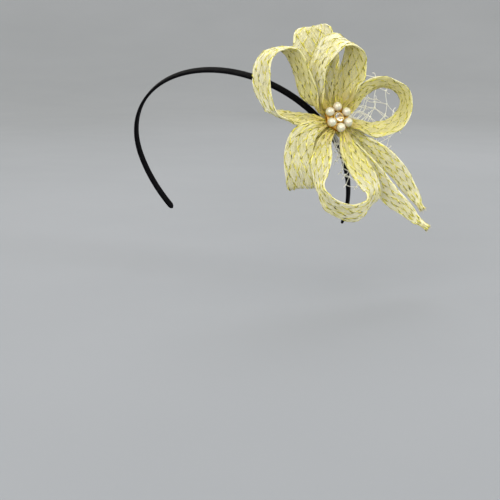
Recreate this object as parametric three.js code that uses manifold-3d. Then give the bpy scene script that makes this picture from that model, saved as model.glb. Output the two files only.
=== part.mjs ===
// Fascinator: crinoline ribbon loops and two tied tails round a pearl brooch, on a narrow headband.
// Millimetres, +Z up. The wearer faces -Y and +X is the wearer's left.
// The origin is the middle of the headband's crown, on its inner face.
import * as THREE from 'three';
import { mergeVertices } from 'three/addons/utils/BufferGeometryUtils.js';
import Module from 'manifold-3d';

const wasm = await Module();
wasm.setup();

const DEG = Math.PI / 180;

// Headband: half an ellipse over the head, then two legs that turn in behind the ears.
const BAND_HALF_SPAN = 81.5;
const BAND_RISE = 74.3;
const BAND_LEAN_BACK = 29.8;
const BAND_STRIP = 5;
const BAND_THICKNESS = 2;
const BAND_CORNER = 0.6;
const LEG_RADIUS = 110;
const LEG_SWEEP = 27;
const ARCH_STEPS = 36;
const LEG_STEPS = 7;

// The flower sits on the band this far round from the crown. It is laid out as someone facing
// the wearer's left brow sees it: right, up and near, with its own axis turned right and raised.
const FLOWER_ROUND = 63.6;
const VIEW_AZIMUTH = 22;
const VIEW_ELEVATION = 5;
const AXIS_TURN = 32;
const AXIS_RISE = 20;
const GAP = 0.3;

// Heights along the flower's axis, from the pearls down to the band.
const PEARL_HEIGHT = 0.5;
const PLATE_TOP = -1.4;
const PLATE_BOTTOM = -3.2;
const KNOT_TOP = PLATE_BOTTOM - GAP;
const KNOT_RADIUS = 4.8;
const TIER_HEIGHTS = [-4.85, -7.4, -9.95];
const VEIL_HEIGHT = -11.85;
const VEIL_THICKNESS = 0.9;
const BASE_TOP = VEIL_HEIGHT - VEIL_THICKNESS / 2 - GAP;
const BASE_THICKNESS = 1.5;
const BASE_RADIUS = 8;
const BASE_STAND_OFF = 1.7;

// Brooch: six pearls in a ring round a cut stone.
const PEARLS = 6;
const PEARL_RADIUS = 3;
const PEARL_RING = 7.2;
const PEARL_FIRST = 30;
const PLATE_RADIUS = 8.4;
const STONE_RADIUS = 2.9;
const STONE_FACETS = 8;
const STONE_TABLE = 0.6;
const STONE_GIRDLE = 0.4;
const STONE_CROWN = 1.1;
const COLLET_RADIUS = 3.7;
const COLLET_TOP = 0.4;
const COLLET_BORE = STONE_RADIUS + GAP;
const COLLET_FLOOR = -1.9;
const PEARL_SIDES = 14;
const PEARL_RINGS = 9;
const ROUND_SIDES = 24;
const KNOT_EDGE = 0.8;
const BASE_EDGE = 0.5;

// Crinoline ribbon, a flattened braided tube. It is gathered to a narrow root at the knot.
const RIBBON_THICKNESS = 1.4;
const ROOT_THICKNESS = 2.1;
const ROOT_WIDTH = 3.2;
const ROOT_CLEARANCE = 0.55;
const ROOT_RADIUS = KNOT_RADIUS + ROOT_CLEARANCE;
const LEAD_WIDTH = 4.6;
const LEAD_RADIUS = 9;
const FLAT_WIDTH = 9;
const PLEAT_DEPTH = 0.8;
const PLEAT_REACH = 11;
const STEPS_PER_SECTION = 3;
const ACROSS = [-1, -0.5, 0, 0.5, 1];
const EDGE_TAPER = 0.55;

// Each ribbon leaves the knot at an angle round the axis on one of three tiers. The tails stop at
// their tied tips and the others come back to the knot. A section is
// [right, up, near, width, edge, tilt]: its middle in mm, its flat width, the direction in degrees
// of the line across it as seen (0 right, 90 up), and how far that line tips towards the viewer.
const RIBBONS = [
  {
    name: 'loop_left', from: [136, 1], to: [180, 1],
    sections: [
      [-18.5, 11.5, 0, 16, 5, 50], [-23.5, 27, 4, 24, -2, 60], [-30, 41, 8, 24, -4, 61],
      [-37, 43.5, 12, 24, -4, 61], [-45.5, 40, 16, 24, -2, 61], [-49.5, 31, 20, 24, 2, 61],
      [-48.5, 17, 22, 24, 2, 61], [-42.3, 2.8, 20, 22, 30, 78], [-32.5, -0.3, 9.5, 17, 72, 108],
      [-22, -1, 0.3, 14, 75, 116],
    ],
  },
  {
    name: 'loop_top_back', from: [100, 1], to: [83, 2],
    sections: [
      [-12.5, 20, -10.8, 18, 2, 0], [-16, 38, -12, 27.5, 3, 0], [-17.5, 51, -13.5, 27, 6, 0],
      [-18.5, 57, -16, 24, 8, 0], [-19, 59.5, -20, 18, 10, 0], [-18.5, 57, -24, 24, 8, 0],
      [-17.5, 51, -27, 27, 6, 0], [-12.5, 34, -26, 25, 4, 0], [-9, 17, -20, 15, 2, 0],
    ],
  },
  {
    name: 'loop_top_front', from: [118, 0], to: [62, 0],
    sections: [
      [-14, 15, 0, 14, -15, 50], [-14.5, 30, 3, 21, -15, 55], [-9.5, 41, 5, 23, -20, 55],
      [-3, 48, 5, 24, -30, 51], [4, 49, 3, 22, -38, 52], [9.4, 44, -2, 22, -22, 53],
      [9.6, 36, -6.5, 23.5, -12, 50], [7.4, 26.5, -8.5, 27, -10, 50], [4.6, 17, -8, 20, -5, 50],
    ],
  },
  {
    name: 'loop_right', from: [22, 1], to: [352, 0],
    sections: [
      [12.5, 14, -14, 12, 130, 60], [19, 20, -17, 19, 115, 68], [30, 22.5, -24, 22, 92, 77],
      [39, 20, -28, 22, 60, 75], [44.5, 13, -31, 22, 15, 73], [43, 4, -30, 22, -25, 69],
      [35.5, -4.5, -25, 22, -62, 66], [23, -8, -18, 18, -85, 62], [13, -5.5, -11, 11, -100, 60],
    ],
  },
  {
    name: 'petal_lower_left', from: [202, 0], to: [226, 2],
    sections: [
      [-16, -7.5, 10, 11, 115, 10], [-22.5, -13.5, 14, 17, 143, 10], [-25.5, -23, 14, 18, 172, 10],
      [-25, -35, 14, 18, 182, 5], [-23, -46, 9, 18, 184, 0], [-22.5, -37, 3, 18, 180, 0],
      [-18, -21, 0, 13, 165, 0],
    ],
  },
  {
    name: 'loop_bottom', from: [240, 0], to: [296, 0],
    sections: [
      [-9, -16.5, 8, 9.5, 0, 20], [-10.5, -26.5, 18, 14, 2, 20], [-10.8, -37, 22, 14, 6, 50],
      [-10.5, -45.5, 25, 14, 25, 66], [-4, -55.5, 24, 15, 55, 48], [8, -61, 20, 15, 90, 42],
      [15.5, -59.8, 17, 15, 105, 52], [19, -56.5, 14.5, 15, 130, 74], [20.5, -54, 13, 15, 170, 72],
      [22.3, -50.5, 12, 15, 190, 52], [22.6, -46.5, 11, 15, 190, 45], [17.8, -38, 8, 16, 205, 30],
      [11.8, -29, 5, 15, 213, 25], [7, -21, 2, 12, 205, 25],
    ],
  },
  {
    name: 'tail_upper', from: [335, 1],
    sections: [
      [15.5, -14.5, -14, 8, 42, 25], [28, -24, -12, 13, 42, 25], [39, -34.5, -11, 13, 38, 25],
      [46.6, -45.5, -11, 10.5, 32, 25], [51.8, -53, -11, 7, 32, 20], [54.2, -57, -11, 3.6, 36, 20],
      [56.6, -60.5, -11, 4, 40, 20],
    ],
  },
  {
    name: 'tail_lower', from: [304, 2],
    sections: [
      [12.5, -22, -9.2, 8, 40, 20], [24, -38, -8, 14, 38, 20], [33.5, -50, -6, 14, 42, 20],
      [43.8, -59, -5, 11, 45, 20], [51.8, -66.4, -5, 6, 45, 20], [56.8, -70, -5, 3.4, 45, 20],
      [60, -72.3, -5, 4, 45, 20],
    ],
  },
];

// Veil: a fan of diamond net from the knot, behind the right loop and the tails.
const VEIL_FIRST = -82;
const VEIL_LAST = 46;
const VEIL_COLUMNS = 9;
const VEIL_ROWS = 7;
const VEIL_ROOT = KNOT_RADIUS + ROOT_CLEARANCE;
const VEIL_NET_START = 14;
const VEIL_REACH = 46;
const VEIL_POINT = 14;
const VEIL_POINT_AT = 18;
const VEIL_STRAND = 0.5;
const VEIL_DROOP = 2.6;
const VEIL_DROOP_FROM = 13;
const VEIL_DROOP_BY = 9;

const COLOURS = {
  satin: { color: 0x0c0c0e, roughness: 0.45 },
  crinoline: { color: 0xe1d7aa, roughness: 0.55 },
  net: { color: 0xf2ecd8, roughness: 0.7 },
  felt: { color: 0xe6dfc4, roughness: 0.95 },
  gold: { color: 0xd9b24a, roughness: 0.3, metalness: 1 },
  pearl: { color: 0xf5f0e6, roughness: 0.2 },
  stone: { color: 0xf4f1e8, roughness: 0.05 },
};

function makeMesh(name, geometry, finish) {
  const mesh = new THREE.Mesh(geometry, new THREE.MeshStandardMaterial(COLOURS[finish]));
  mesh.name = name;
  return mesh;
}

// A closed solid from triangles, turned so that its faces point out.
function closedSolid(points, triangles) {
  let volume = 0;
  for (const [a, b, c] of triangles) {
    volume += points[a].dot(new THREE.Vector3().crossVectors(points[b], points[c]));
  }
  const order = volume < 0 ? ([a, b, c]) => [a, c, b] : (corners) => corners;
  const geometry = new THREE.BufferGeometry();
  const coordinates = points.flatMap((point) => [point.x, point.y, point.z]);
  geometry.setAttribute('position', new THREE.Float32BufferAttribute(coordinates, 3));
  geometry.setIndex(triangles.flatMap(order));
  return geometry;
}

// A solid through rings of equal size. A ring lists one face across and then the other back,
// so its ends close with strips between the two faces.
function loft(rings) {
  const size = rings[0].length;
  const triangles = [];
  const quad = (a, b, c, d) => triangles.push([a, b, c], [a, c, d]);
  for (let step = 0; step + 1 < rings.length; step++) {
    for (let i = 0; i < size; i++) {
      const j = (i + 1) % size;
      quad(step * size + i, step * size + j, (step + 1) * size + j, (step + 1) * size + i);
    }
  }
  const last = (rings.length - 1) * size;
  for (let i = 0; i + 1 < size / 2; i++) {
    quad(i, size - 1 - i, size - 2 - i, i + 1);
    quad(last + i, last + i + 1, last + size - 2 - i, last + size - 1 - i);
  }
  return closedSolid(rings.flat(), triangles);
}

// Headband

const lean = BAND_LEAN_BACK * DEG;
const bandFront = new THREE.Vector3(0, -Math.cos(lean), -Math.sin(lean));

// A place in the band's leaning plane, given sideways and upwards.
const inBandPlane = (side, rise) =>
  new THREE.Vector3(side, -rise * Math.sin(lean), rise * Math.cos(lean));

function archStation(round) {
  const point = inBandPlane(BAND_HALF_SPAN * Math.sin(round), BAND_RISE * (Math.cos(round) - 1));
  const outward = inBandPlane(Math.sin(round) / BAND_HALF_SPAN, Math.cos(round) / BAND_RISE);
  return { point, outward: outward.normalize() };
}

function legStation(side, sweep) {
  const reach = BAND_HALF_SPAN - LEG_RADIUS * (1 - Math.cos(sweep));
  const point = inBandPlane(side * reach, -BAND_RISE - LEG_RADIUS * Math.sin(sweep));
  return { point, outward: inBandPlane(side * Math.cos(sweep), -Math.sin(sweep)) };
}

function bandRing({ point, outward }) {
  const half = BAND_STRIP / 2;
  const corners = [
    [-half, BAND_THICKNESS - BAND_CORNER], [-half + BAND_CORNER, BAND_THICKNESS],
    [half - BAND_CORNER, BAND_THICKNESS], [half, BAND_THICKNESS - BAND_CORNER],
    [half, BAND_CORNER], [half - BAND_CORNER, 0], [-half + BAND_CORNER, 0], [-half, BAND_CORNER],
  ];
  return corners.map(([across, out]) =>
    point.clone().addScaledVector(bandFront, across).addScaledVector(outward, out));
}

function headbandGeometry() {
  const stations = [];
  for (let i = LEG_STEPS; i > 0; i--) stations.push(legStation(-1, LEG_SWEEP * DEG * i / LEG_STEPS));
  for (let i = 0; i <= ARCH_STEPS; i++) stations.push(archStation((i / ARCH_STEPS - 0.5) * Math.PI));
  for (let i = 1; i <= LEG_STEPS; i++) stations.push(legStation(1, LEG_SWEEP * DEG * i / LEG_STEPS));
  return loft(stations.map(bandRing));
}

// Flower frame: the group looks out at the viewer, and the axis group inside it points along
// the flower's own axis.

const flower = new THREE.Group();
flower.rotation.set((90 - VIEW_ELEVATION) * DEG, 0, VIEW_AZIMUTH * DEG, 'ZYX');
const axisGroup = new THREE.Group();
axisGroup.rotation.set(-AXIS_RISE * DEG, AXIS_TURN * DEG, 0, 'YXZ');
flower.add(axisGroup);

const seat = archStation(FLOWER_ROUND * DEG);
const axisInFlower = new THREE.Vector3(0, 0, 1).applyQuaternion(axisGroup.quaternion);
const axisInWorld = axisInFlower.clone().applyQuaternion(flower.quaternion);
flower.position.copy(seat.point)
  .addScaledVector(seat.outward, BAND_THICKNESS + BASE_STAND_OFF)
  .addScaledVector(axisInWorld, BASE_THICKNESS - BASE_TOP);

// A place round the flower's axis, in the flower's frame.
const roundAxis = (radius, angle, height) =>
  new THREE.Vector3(radius * Math.cos(angle * DEG), radius * Math.sin(angle * DEG), height)
    .applyQuaternion(axisGroup.quaternion);

// Ribbons

function acrossDirection(edge, tilt) {
  const flat = Math.cos(tilt * DEG);
  return new THREE.Vector3(flat * Math.cos(edge * DEG), flat * Math.sin(edge * DEG), Math.sin(tilt * DEG));
}

// The gathered end of a ribbon: two sections that lie flat round the knot and point straight out.
function rootSections([angle, tier], towards) {
  const across = roundAxis(1, angle + 90, 0);
  if (across.dot(towards) < 0) across.negate();
  return [[ROOT_RADIUS, ROOT_WIDTH], [LEAD_RADIUS, LEAD_WIDTH]].map(([radius, width]) =>
    ({ middle: roundAxis(radius, angle, TIER_HEIGHTS[tier]), width, across }));
}

// A smooth value between the second and third of four.
function smooth(p0, p1, p2, p3, f) {
  return 0.5 * (2 * p1 + (p2 - p0) * f + (2 * p0 - 5 * p1 + 4 * p2 - p3) * f ** 2
    + (3 * p1 - p0 - 3 * p2 + p3) * f ** 3);
}

function ribbonStations({ from, to, sections }) {
  const body = sections.map(([right, up, near, width, edge, tilt]) =>
    ({ middle: new THREE.Vector3(right, up, near), width, across: acrossDirection(edge, tilt) }));
  const all = [...rootSections(from, body[0].across), ...body];
  if (to) all.push(...rootSections(to, body.at(-1).across).reverse());
  const values = all.map(({ middle, width, across }) => [...middle, width, ...across]);
  const beyond = (end, next) => end.map((value, k) => 2 * value - next[k]);
  const padded = [beyond(values[0], values[1]), ...values, beyond(values.at(-1), values.at(-2))];
  const stations = [];
  for (let step = 0; step <= (values.length - 1) * STEPS_PER_SECTION; step++) {
    const i = Math.min(Math.floor(step / STEPS_PER_SECTION), values.length - 2);
    const four = padded.slice(i, i + 4);
    const fraction = step / STEPS_PER_SECTION - i;
    const between = (k) => smooth(...four.map((row) => row[k]), fraction);
    const [x, y, z, width, ...across] = values[0].map((_, k) => between(k));
    stations.push({ middle: new THREE.Vector3(x, y, z), width, across: new THREE.Vector3(...across) });
  }
  return stations;
}

// How strongly the ribbon is pleated at a distance from its gathered root.
const gather = (distance) => (distance / PLEAT_REACH) * Math.exp(1 - distance / PLEAT_REACH);

function ribbonGeometry(ribbon) {
  const stations = ribbonStations(ribbon);
  const along = [0];
  for (let i = 1; i < stations.length; i++) {
    along.push(along[i - 1] + stations[i].middle.distanceTo(stations[i - 1].middle));
  }
  const rings = stations.map(({ middle, width, across }, i) => {
    const before = stations[Math.max(i - 1, 0)].middle;
    const after = stations[Math.min(i + 1, stations.length - 1)].middle;
    const ahead = after.clone().sub(before).normalize();
    const side = across.clone().addScaledVector(ahead, -across.dot(ahead)).normalize();
    const face = ahead.clone().cross(side);
    const flatness = Math.min(Math.max((width - ROOT_WIDTH) / (FLAT_WIDTH - ROOT_WIDTH), 0), 1);
    const half = THREE.MathUtils.lerp(ROOT_THICKNESS, RIBBON_THICKNESS, flatness) / 2;
    const farRoot = ribbon.to ? gather(along.at(-1) - along[i]) : 0;
    const depth = PLEAT_DEPTH * (gather(along[i]) + farRoot);
    const place = (x, sign) => middle.clone().addScaledVector(side, x * width / 2)
      .addScaledVector(face, depth * Math.cos(2 * Math.PI * x) + sign * half * (1 - EDGE_TAPER * x * x));
    return [...ACROSS.map((x) => place(x, 1)), ...ACROSS.toReversed().map((x) => place(x, -1))];
  });
  return loft(rings);
}

// Veil

function veilPlace(column, row) {
  const angle = THREE.MathUtils.lerp(VEIL_FIRST, VEIL_LAST, column / VEIL_COLUMNS);
  const reach = VEIL_REACH + VEIL_POINT * Math.max(0, Math.cos(2 * (angle - VEIL_POINT_AT) * DEG));
  const radius = THREE.MathUtils.lerp(VEIL_NET_START, reach, row / VEIL_ROWS);
  return { angle, radius };
}

// Knots stand in rows, every second row half a column along. Each knot is a small diamond whose
// corners carry the strands to the next row.
function veilGeometry() {
  const points = [];
  const triangles = [];
  const boundary = new Map();
  const addPoint = ({ angle, radius }, sideways = 0, outwards = 0) => {
    const r = radius + outwards;
    const turn = angle + (sideways / radius) / DEG;
    const past = Math.max(0, r - VEIL_DROOP_FROM) / VEIL_DROOP_BY;
    const height = VEIL_HEIGHT - VEIL_DROOP * (1 - Math.exp(-past));
    const cosine = Math.cos(turn * DEG);
    const sine = Math.sin(turn * DEG);
    points.push(new THREE.Vector3(r * cosine, r * sine, height + VEIL_THICKNESS / 2));
    points.push(new THREE.Vector3(r * cosine, r * sine, height - VEIL_THICKNESS / 2));
    return points.length - 2;
  };
  const addFace = (corners) => {
    for (let i = 2; i < corners.length; i++) {
      triangles.push([corners[0], corners[i - 1], corners[i]]);
      triangles.push([corners[0] + 1, corners[i] + 1, corners[i - 1] + 1]);
    }
    corners.forEach((corner, i) => {
      const next = corners[(i + 1) % corners.length];
      if (!boundary.delete(`${next},${corner}`)) boundary.set(`${corner},${next}`, [corner, next]);
    });
  };
  const knots = [];
  for (let row = 0; row <= VEIL_ROWS; row++) {
    const offset = row % 2 ? 0.5 : 0;
    knots.push([]);
    for (let column = offset; column <= VEIL_COLUMNS; column++) {
      const place = veilPlace(column, row);
      const right = addPoint(place, -VEIL_STRAND);
      const left = addPoint(place, VEIL_STRAND);
      const out = addPoint(place, 0, VEIL_STRAND);
      const inner = row ? addPoint(place, 0, -VEIL_STRAND) : null;
      knots[row].push({ right, left, out, inner });
      addFace(row ? [inner, right, out, left] : [right, out, left]);
    }
  }
  for (let row = 0; row < VEIL_ROWS; row++) {
    knots[row].forEach((knot, k) => {
      const rightwards = knots[row + 1][row % 2 ? k : k - 1];
      const leftwards = knots[row + 1][row % 2 ? k + 1 : k];
      if (rightwards) addFace([knot.out, knot.right, rightwards.inner, rightwards.left]);
      if (leftwards) addFace([knot.left, knot.out, leftwards.right, leftwards.inner]);
    });
  }
  const root = knots[0].map((knot, k) => {
    const place = { angle: veilPlace(k, 0).angle, radius: VEIL_ROOT };
    const half = VEIL_STRAND * VEIL_ROOT / VEIL_NET_START;
    return { right: addPoint(place, -half), left: addPoint(place, half) };
  });
  knots[0].forEach((knot, k) => {
    addFace([root[k].left, root[k].right, knot.right, knot.left]);
    const next = k + 1;
    if (next < root.length) addFace([root[next].right, root[k].left, knot.left, knots[0][next].right]);
  });
  for (const [a, b] of boundary.values()) triangles.push([b, a, a + 1], [b, a + 1, b + 1]);
  return closedSolid(points, triangles);
}

// Brooch, knot and base

const upright = (geometry) => geometry.rotateX(Math.PI / 2);
function lathe(profile, sides = ROUND_SIDES) {
  const points = profile.map(([radius, height]) => new THREE.Vector2(radius, height));
  return upright(new THREE.LatheGeometry(points, sides));
}

function asManifold(geometry) {
  const bare = geometry.clone();
  bare.deleteAttribute('normal');
  bare.deleteAttribute('uv');
  const merged = mergeVertices(bare);
  const vertProperties = new Float32Array(merged.attributes.position.array);
  const triVerts = new Uint32Array(merged.index.array);
  return new wasm.Manifold(new wasm.Mesh({ numProp: 3, vertProperties, triVerts }));
}

function asGeometry(manifold) {
  const { vertProperties, triVerts, numProp } = manifold.getMesh();
  const geometry = new THREE.BufferGeometry();
  const positions = Array.from({ length: vertProperties.length / numProp }, (_, i) =>
    Array.from(vertProperties.slice(i * numProp, i * numProp + 3))).flat();
  geometry.setAttribute('position', new THREE.Float32BufferAttribute(positions, 3));
  geometry.setIndex(Array.from(triVerts));
  return geometry;
}

const pearlPlace = (index) => {
  const angle = (PEARL_FIRST + index * 360 / PEARLS) * DEG;
  return new THREE.Vector3(PEARL_RING * Math.cos(angle), PEARL_RING * Math.sin(angle), PEARL_HEIGHT);
};

const pearlGeometry = (radius) => upright(new THREE.SphereGeometry(radius, PEARL_SIDES, PEARL_RINGS));

// A round gold plate with a raised collet for the stone and a cup sunk for each pearl.
function settingGeometry() {
  let setting = asManifold(lathe([
    [0, PLATE_BOTTOM], [PLATE_RADIUS, PLATE_BOTTOM], [PLATE_RADIUS, PLATE_TOP], [COLLET_RADIUS, PLATE_TOP],
    [COLLET_RADIUS, COLLET_TOP], [COLLET_BORE, COLLET_TOP], [COLLET_BORE, COLLET_FLOOR], [0, COLLET_FLOOR],
  ]));
  for (let index = 0; index < PEARLS; index++) {
    const cup = pearlGeometry(PEARL_RADIUS + GAP).translate(...pearlPlace(index));
    setting = setting.subtract(asManifold(cup));
  }
  return asGeometry(setting);
}

// Cut stone: a flat table, a crown of facets, a girdle and a pavilion that comes to a point.
function stoneGeometry() {
  const girdle = COLLET_TOP + STONE_GIRDLE;
  return lathe([
    [0, COLLET_FLOOR + GAP], [STONE_RADIUS, COLLET_TOP], [STONE_RADIUS, girdle],
    [STONE_RADIUS * STONE_TABLE, girdle + STONE_CROWN], [0, girdle + STONE_CROWN],
  ], STONE_FACETS);
}

const knotGeometry = () => lathe([
  [0, BASE_TOP + GAP], [KNOT_RADIUS - KNOT_EDGE, BASE_TOP + GAP], [KNOT_RADIUS, BASE_TOP + GAP + KNOT_EDGE],
  [KNOT_RADIUS, KNOT_TOP - KNOT_EDGE], [KNOT_RADIUS - KNOT_EDGE, KNOT_TOP], [0, KNOT_TOP],
]);

const baseGeometry = () => lathe([
  [0, BASE_TOP - BASE_THICKNESS], [BASE_RADIUS - BASE_EDGE, BASE_TOP - BASE_THICKNESS],
  [BASE_RADIUS, BASE_TOP - BASE_THICKNESS + BASE_EDGE], [BASE_RADIUS, BASE_TOP - BASE_EDGE],
  [BASE_RADIUS - BASE_EDGE, BASE_TOP], [0, BASE_TOP],
]);

// Assembly

const fascinator = new THREE.Group();
fascinator.add(makeMesh('headband', headbandGeometry(), 'satin'), flower);

for (const ribbon of RIBBONS) flower.add(makeMesh(ribbon.name, ribbonGeometry(ribbon), 'crinoline'));

axisGroup.add(
  makeMesh('base_disc', baseGeometry(), 'felt'),
  makeMesh('veil_net', veilGeometry(), 'net'),
  makeMesh('gather_knot', knotGeometry(), 'crinoline'),
  makeMesh('brooch_setting', settingGeometry(), 'gold'),
  makeMesh('centre_stone', stoneGeometry(), 'stone'),
);

for (let index = 0; index < PEARLS; index++) {
  const pearl = makeMesh(`pearl_${index + 1}`, pearlGeometry(PEARL_RADIUS), 'pearl');
  pearl.position.copy(pearlPlace(index));
  axisGroup.add(pearl);
}

export default fascinator;
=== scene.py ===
import math

import bmesh
import bpy
import numpy as np
from mathutils import Matrix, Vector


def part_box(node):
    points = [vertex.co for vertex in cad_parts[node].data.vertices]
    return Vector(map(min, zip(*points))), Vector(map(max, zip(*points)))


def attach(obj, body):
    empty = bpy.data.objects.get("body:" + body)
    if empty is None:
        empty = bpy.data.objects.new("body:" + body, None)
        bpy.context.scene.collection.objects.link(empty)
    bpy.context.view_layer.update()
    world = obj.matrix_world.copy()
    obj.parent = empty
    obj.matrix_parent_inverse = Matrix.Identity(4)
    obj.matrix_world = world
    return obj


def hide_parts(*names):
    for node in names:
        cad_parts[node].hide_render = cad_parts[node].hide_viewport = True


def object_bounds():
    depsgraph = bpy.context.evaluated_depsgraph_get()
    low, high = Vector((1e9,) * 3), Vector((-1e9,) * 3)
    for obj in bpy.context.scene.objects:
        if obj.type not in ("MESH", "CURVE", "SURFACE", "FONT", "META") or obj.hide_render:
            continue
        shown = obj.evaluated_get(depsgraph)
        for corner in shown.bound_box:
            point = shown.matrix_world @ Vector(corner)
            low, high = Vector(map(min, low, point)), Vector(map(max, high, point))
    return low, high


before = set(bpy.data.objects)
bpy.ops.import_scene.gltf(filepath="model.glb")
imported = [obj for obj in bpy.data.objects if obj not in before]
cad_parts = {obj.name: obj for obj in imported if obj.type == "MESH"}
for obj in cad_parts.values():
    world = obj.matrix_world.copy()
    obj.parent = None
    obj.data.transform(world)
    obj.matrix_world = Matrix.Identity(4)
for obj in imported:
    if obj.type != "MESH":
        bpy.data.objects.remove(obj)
cad_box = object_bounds()

# Camera: it looks at the flower's side of the band from a little above, as the photograph does. The
# crown of the headband is the origin, and it shows at a known place in the square picture.
# Sizes are in millimetres here, and a mesh is scaled to metres as it is made.
MM = 0.001
PICTURE = 500
FOCAL_PIXELS = 1071
SENSOR = 36
CROWN_PIXEL = (212.8, 71)
CROWN_DISTANCE = 720
CAMERA_AZIMUTH = 27
CAMERA_ELEVATION = 12
CAMERA_NEAREST = 10


def facing(azimuth, elevation):
    """Right, up and near directions of a viewer who looks at the object from there, in degrees."""
    turn = math.radians(azimuth)
    lift = math.radians(elevation)
    right = np.array((math.cos(turn), math.sin(turn), 0))
    level = np.array((math.sin(turn), -math.cos(turn), 0))
    near = level * math.cos(lift) + np.array((0, 0, math.sin(lift)))
    return np.array((right, np.cross(near, right), near))


camera_axes = facing(CAMERA_AZIMUTH, CAMERA_ELEVATION)
pixel = CROWN_DISTANCE / FOCAL_PIXELS
crown_right = (CROWN_PIXEL[0] - PICTURE / 2) * pixel
crown_up = (PICTURE / 2 - CROWN_PIXEL[1]) * pixel
camera_place = np.array((-crown_right, -crown_up, CROWN_DISTANCE)) @ camera_axes

camera = bpy.data.objects.new("camera", bpy.data.cameras.new("camera"))
bpy.context.scene.collection.objects.link(camera)
camera.data.sensor_width = SENSOR
camera.data.lens = SENSOR * FOCAL_PIXELS / PICTURE
camera.data.clip_start = CAMERA_NEAREST * MM
camera.matrix_world = Matrix.Translation(camera_place * MM) @ Matrix(camera_axes.T).to_4x4()
bpy.context.scene.camera = camera

# Headband: a sprung strip five millimetres wide, sleeved in black satin. It arches in a plane that
# leans back, and its two legs turn in to grip. The satin laps over itself along the inner face, and
# is folded shut and glued at the tips.
BAND_HALF_SPAN = 81.5
BAND_RISE = 74.3
BAND_LEAN_BACK = 29.8
BAND_WIDTH = 5
BAND_THICKNESS = 2
BAND_SQUARENESS = 4.5
BAND_LAP = 0.16
LEG_RADIUS = 110
LEG_SWEEP = 27
TIP_LENGTH = 3.5
TIP_CLOSED = 0.98
LEG_STATIONS = 45
ARCH_STATIONS = 220
BAND_SIDES = 32
SATIN_THREAD = 0.28
SATIN_BLACK = (0.003, 0.003, 0.004, 1)
SATIN_WORN = (0.007, 0.007, 0.008, 1)

# The bake map keeps a margin at the ends of a tube, which holds its caps, and gaps between tubes.
MAP_MARGIN = 0.01
MAP_GAP = 0.05


def unit(vectors):
    """The same directions with a length of one."""
    return vectors / np.linalg.norm(vectors, axis=-1, keepdims=True)


def in_band_plane(side, rise):
    lean = math.radians(BAND_LEAN_BACK)
    return np.stack((side, -rise * math.sin(lean), rise * math.cos(lean)), axis=-1)


def band_line():
    """Points along the middle of the band's inner face from tip to tip, and the outward directions."""
    sweep = np.radians(np.linspace(LEG_SWEEP, 0, LEG_STATIONS, endpoint=False))
    turn = np.radians(np.linspace(-90, 90, ARCH_STATIONS))
    leg_side = BAND_HALF_SPAN - LEG_RADIUS * (1 - np.cos(sweep))
    leg_rise = -BAND_RISE - LEG_RADIUS * np.sin(sweep)
    side = np.concatenate((-leg_side, BAND_HALF_SPAN * np.sin(turn), leg_side[::-1]))
    rise = np.concatenate((leg_rise, BAND_RISE * (np.cos(turn) - 1), leg_rise[::-1]))
    out_side = np.concatenate((-np.cos(sweep), np.sin(turn) / BAND_HALF_SPAN, np.cos(sweep)[::-1]))
    out_rise = np.concatenate((-np.sin(sweep), np.cos(turn) / BAND_RISE, -np.sin(sweep)[::-1]))
    return in_band_plane(side, rise), unit(in_band_plane(out_side, out_rise))


def lengths_along(line):
    """The distance of each point of a line from its start."""
    steps = np.linalg.norm(np.diff(line, axis=0), axis=1)
    return np.concatenate(((0,), np.cumsum(steps)))


def at_places(places, along, values):
    """Rows of values that go with distances along a line, read off at other distances."""
    return np.stack([np.interp(places, along, column) for column in values.T], axis=-1)


def carried(lines, lifts, section):
    """A section's corners carried along lines. Its second axis follows lifts, which no line runs along."""
    ahead = unit(np.gradient(lines, axis=1))
    across = unit(np.cross(ahead, lifts))
    upright = np.cross(across, ahead)
    return (lines[:, :, None] + across[:, :, None] * section[..., 0:1]
            + upright[:, :, None] * section[..., 1:2])


def tubes(rings, along=None):
    """Closed tubes from rings[tube, station, corner]: points, side faces, end caps and a bake map."""
    count, stations, corners = rings.shape[:3]
    index = np.arange(count * stations * corners).reshape(count, stations, corners)
    beside = np.roll(index, -1, axis=2)
    sides = np.stack((index[:, :-1], index[:, 1:], beside[:, 1:], beside[:, :-1]), axis=-1)
    caps = np.concatenate((index[:, 0], index[:, -1, ::-1]))
    share = np.linspace(0, 1, stations) if along is None else along
    u = MAP_MARGIN + (1 - 2 * MAP_MARGIN) * share
    v = np.linspace(MAP_GAP, 1 - MAP_GAP, corners + 1)
    tube = np.arange(count)
    side_map = np.zeros(sides.shape + (2,))
    for corner, (ahead, around) in enumerate(((0, 0), (1, 0), (1, 1), (0, 1))):
        side_map[..., corner, 0] = u[ahead:len(u) - 1 + ahead, None]
        side_map[..., corner, 1] = (tube[:, None, None] + v[around:corners + around]) / count
    turn = np.linspace(0, 2 * math.pi, corners, endpoint=False)
    cap_map = np.zeros(caps.shape + (2,))
    cap_map[..., 0] = MAP_MARGIN * (0.5 + 0.4 * np.cos(turn))
    cap_map[count:, :, 0] += u[-1]
    cap_map[..., 1] = (np.concatenate((tube, tube))[:, None] + 0.5 + 0.4 * np.sin(turn)) / count
    faces = [sides.reshape(-1, 4), caps]
    return rings.reshape(-1, 3), faces, [side_map.reshape(-1, 2), cap_map.reshape(-1, 2)]


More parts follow.
